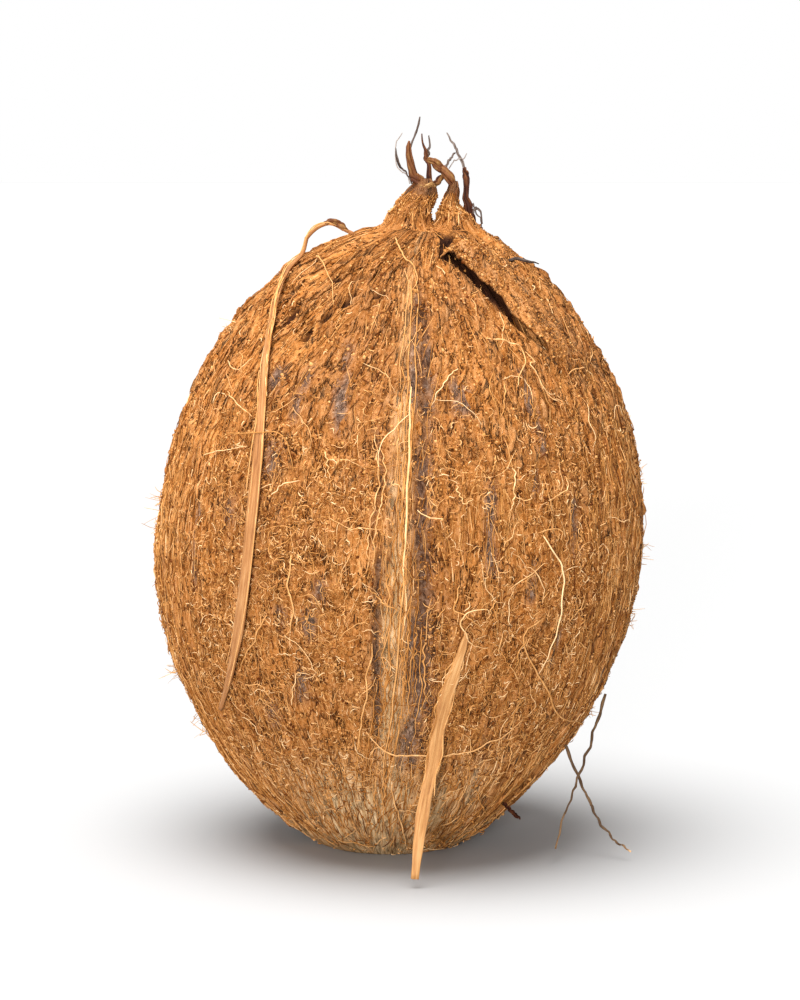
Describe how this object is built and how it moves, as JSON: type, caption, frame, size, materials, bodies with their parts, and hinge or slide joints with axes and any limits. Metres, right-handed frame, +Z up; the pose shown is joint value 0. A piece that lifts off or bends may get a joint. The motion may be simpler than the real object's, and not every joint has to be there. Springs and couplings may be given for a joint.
{
  "type": "coconut",
  "caption": "Whole partly husked coconut with a matted coir surface, a pinched husk tuft on top, loose fibres and a small flat spot it rests on.",
  "frame": {"origin": "centre of the small flat spot that the nut rests on", "axes": "+Z up through the nut towards the tuft, -Y towards the front with the pale seam, +X towards the side that the tuft is pulled over to"},
  "size_m": [0.1108, 0.1107, 0.1657],
  "materials": {
    "coir_husk": "matted brown coir fibre, matt",
    "fibre_strap": "flat straw-coloured fibre bundle, satin",
    "stray_fibre": "dark wiry fibre, satin"
  },
  "bodies": {
    "root": {"coconut": "coir_husk", "strap_left": "fibre_strap", "strap_front": "fibre_strap", "stray_fibre_upper": "stray_fibre", "stray_fibre_lower": "stray_fibre"}
  },
  "joints": []
}
